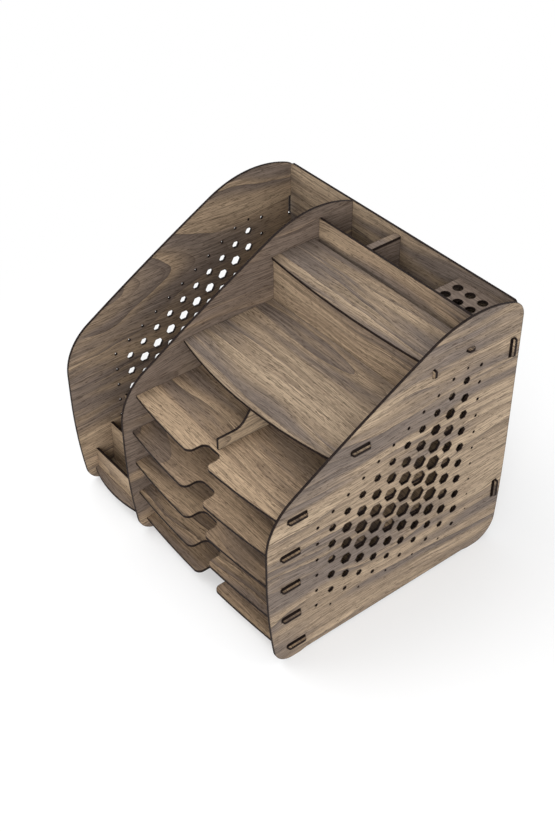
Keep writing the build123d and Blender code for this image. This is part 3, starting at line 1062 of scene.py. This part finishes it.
class RACK_OT_shelves(bpy.types.Operator):
    """Veneer the upper shelf and the step with its riser"""

    bl_idname = "rack.shelves"
    bl_label = "Shelf and Step"

    def execute(self, context):
        dress(
            "upper_shelf",
            LYING_FLAT,
            heart=(0.168, 0.022, 0.018),
            tone_and_painted_light=(-0.02, 0.0),
            seed=26.27,
            slot=side_slot(),
        )
        dress("step_shelf", LYING_FLAT, heart=(0.04, 0.207, 0.02), tone_and_painted_light=(-0.15, 0.0), seed=22.12)
        dress("riser_board", FACING_FRONT, heart=(0.0, 0.1, 0.03), tone_and_painted_light=(0.12, 0.02))
        return {"FINISHED"}


class RACK_OT_pen_box(bpy.types.Operator):
    """Veneer the pen box: its front, its two dividers and its two plates"""

    bl_idname = "rack.pen_box"
    bl_label = "Pen Box"

    def execute(self, context):
        # A painted warm bounce of light on all of them; the plates and dividers are much darker, painted
        # shade inside the pen box.
        dress("pen_front_panel", FACING_FRONT, tone_and_painted_light=(-0.05, 0.02))
        for name in PLATE_BOARDS:
            dress(name, LYING_FLAT, tone_and_painted_light=(-0.25, 0.03))
        for name in PEN_DIVIDERS:
            dress(name, STANDING_SIDEWAYS, tone_and_painted_light=(-0.25, 0.03))
        return {"FINISHED"}


class RACK_OT_tray_divider(bpy.types.Operator):
    """Veneer the divider on the uppermost tray"""

    bl_idname = "rack.tray_divider"
    bl_label = "Tray Divider"

    def execute(self, context):
        dress("tray_divider", STANDING_SIDEWAYS)
        return {"FINISHED"}


class RACK_OT_back_panel(bpy.types.Operator):
    """Veneer the back panel"""

    bl_idname = "rack.back_panel"
    bl_label = "Back Panel"

    def execute(self, context):
        dress("back_panel", FACING_FRONT, heart=(0.1, 0.16, 0.02), slot=side_slot())
        return {"FINISHED"}


class RACK_OT_binder_bay(bpy.types.Operator):
    """Veneer the base of the binder bay and its three cross boards"""

    bl_idname = "rack.binder_bay"
    bl_label = "Binder Bay"

    def execute(self, context):
        dress("binder_base", LYING_FLAT)
        for name in BINDER_BOARDS:
            dress(name, FACING_FRONT, tone_and_painted_light=(0.28, 0.03))
        return {"FINISHED"}


def seen_directly(tree):
    """Mask of the rays that show a background: to the camera, in a reflection or through glass."""
    path = tree.nodes.new("ShaderNodeLightPath").outputs
    seen = calculate(tree, "MAXIMUM", path["Is Camera Ray"], path["Is Glossy Ray"])
    return calculate(tree, "MAXIMUM", seen, path["Is Transmission Ray"])


def floor_material(stage):
    """Pale floor that takes shadows, with a share of plain white for the camera and for gloss."""
    material = bpy.data.materials.new("studio_floor")
    material.use_nodes = True
    tree = material.node_tree
    shader = tree.nodes["Principled BSDF"]
    shader.inputs["Base Color"].default_value = stage.floor_colour
    shader.inputs["Roughness"].default_value = stage.floor_roughness
    shader.inputs["Specular IOR Level"].default_value = 0.0
    veil = tree.nodes.new("ShaderNodeEmission")
    veil.inputs["Color"].default_value = WHITE
    veil.inputs["Strength"].default_value = 1.0
    mix = tree.nodes.new("ShaderNodeMixShader")
    places = tree.nodes.new("ShaderNodeTexCoord")
    reach = tree.nodes.new("ShaderNodeVectorMath")
    reach.operation = "LENGTH"
    feed(tree, reach.inputs["Vector"], places.outputs["Object"])
    distance = reach.outputs["Value"]
    veil_share = spread(tree, distance, stage.veil_start, stage.veil_end, stage.floor_veil, 1.0)
    feed(tree, mix.inputs["Fac"], calculate(tree, "MULTIPLY", seen_directly(tree), veil_share))
    tree.links.new(shader.outputs["BSDF"], mix.inputs[1])
    tree.links.new(veil.outputs["Emission"], mix.inputs[2])
    tree.links.new(mix.outputs["Shader"], tree.nodes["Material Output"].inputs["Surface"])
    return material


def add_floor(stage):
    """Large plain floor under the rack."""
    half = stage.floor_size / 2
    low = cad_low.z
    corners = [(-half, -half, low), (half, -half, low), (half, half, low), (-half, half, low)]
    mesh = bpy.data.meshes.new("studio_floor")
    mesh.from_pydata(corners, [], [(0, 1, 2, 3)])
    mesh.materials.append(floor_material(stage))
    floor = bpy.data.objects.new("studio_floor", mesh)
    bpy.context.scene.collection.objects.link(floor)


def add_sky(stage):
    """Even light from all around, seen as plain white."""
    world = bpy.data.worlds.new("studio_sky")
    bpy.context.scene.world = world
    world.use_nodes = True
    tree = world.node_tree
    seen = seen_directly(tree)
    strength = calculate(tree, "MULTIPLY_ADD", seen, 1.0 - stage.sky_strength, stage.sky_strength)
    background = tree.nodes["Background"]
    background.inputs["Color"].default_value = WHITE
    feed(tree, background.inputs["Strength"], strength)


def add_softbox(name, place, aim, size, power):
    """Large square lamp that points at a place."""
    lamp = bpy.data.lights.new(name, "AREA")
    lamp.shape = "SQUARE"
    lamp.size = size
    lamp.energy = power
    holder = bpy.data.objects.new(name, lamp)
    holder.location = place
    direction = [there - here for there, here in zip(aim, place)]
    flat = math.hypot(direction[0], direction[1])
    tilt = math.atan2(flat, -direction[2])
    turn = math.atan2(direction[1], direction[0]) - math.pi / 2
    holder.rotation_euler = Euler((tilt, 0.0, turn))
    bpy.context.scene.collection.objects.link(holder)


def add_camera(stage):
    """Camera at the photograph's viewing angle."""
    camera = bpy.data.cameras.new("photo_camera")
    camera.sensor_width = SENSOR_WIDTH
    camera.lens = stage.camera_lens
    holder = bpy.data.objects.new("photo_camera", camera)
    holder.location = stage.camera_place
    holder.rotation_euler = stage.camera_turn
    bpy.context.scene.collection.objects.link(holder)
    bpy.context.scene.camera = holder


class RACK_OT_stage(bpy.types.Operator):
    """Set up the floor, the light and the camera"""

    bl_idname = "rack.stage"
    bl_label = "Stage"

    def execute(self, context):
        stage = context.scene.rack_stage
        add_floor(stage)
        add_sky(stage)
        add_softbox("key_softbox", stage.key_place, stage.lamp_aim, stage.key_size, stage.key_power)
        add_softbox("fill_softbox", stage.fill_place, stage.lamp_aim, stage.fill_size, stage.fill_power)
        add_camera(stage)
        context.scene.view_settings.view_transform = "Standard"
        return {"FINISHED"}


OPERATORS = (
    RACK_OT_side_panels,
    RACK_OT_trays,
    RACK_OT_shelves,
    RACK_OT_pen_box,
    RACK_OT_tray_divider,
    RACK_OT_back_panel,
    RACK_OT_binder_bay,
    RACK_OT_stage,
)


class RACK_PT_sidebar(bpy.types.Panel):
    """Steps and settings of the desk rack"""

    bl_idname = "RACK_PT_sidebar"
    bl_label = "Desk Rack"
    bl_space_type = "VIEW_3D"
    bl_region_type = "UI"
    bl_category = "Desk Rack"

    def draw(self, context):
        for operator in OPERATORS:
            self.layout.operator(operator.bl_idname)
        scene = context.scene
        for settings in (scene.rack_veneer, scene.rack_cut_edge, scene.rack_stage):
            column = self.layout.column()
            for name in settings.__annotations__:
                column.prop(settings, name)


CLASSES = (RackVeneer, RackCutEdge, RackStage) + OPERATORS + (RACK_PT_sidebar,)


def register():
    """Register the classes and hang their settings on the scene."""
    for rack_class in CLASSES:
        bpy.utils.register_class(rack_class)
    bpy.types.Scene.rack_veneer = bpy.props.PointerProperty(type=RackVeneer)
    bpy.types.Scene.rack_cut_edge = bpy.props.PointerProperty(type=RackCutEdge)
    bpy.types.Scene.rack_stage = bpy.props.PointerProperty(type=RackStage)


def unregister():
    """Take the settings off the scene and unregister the classes."""
    del bpy.types.Scene.rack_stage
    del bpy.types.Scene.rack_cut_edge
    del bpy.types.Scene.rack_veneer
    for rack_class in reversed(CLASSES):
        bpy.utils.unregister_class(rack_class)


def main():
    """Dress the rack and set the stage."""
    register()
    bpy.ops.rack.side_panels()
    bpy.ops.rack.trays()
    bpy.ops.rack.shelves()
    bpy.ops.rack.pen_box()
    bpy.ops.rack.tray_divider()
    bpy.ops.rack.back_panel()
    bpy.ops.rack.binder_bay()
    bpy.ops.rack.stage()


if __name__ == "__main__":
    main()
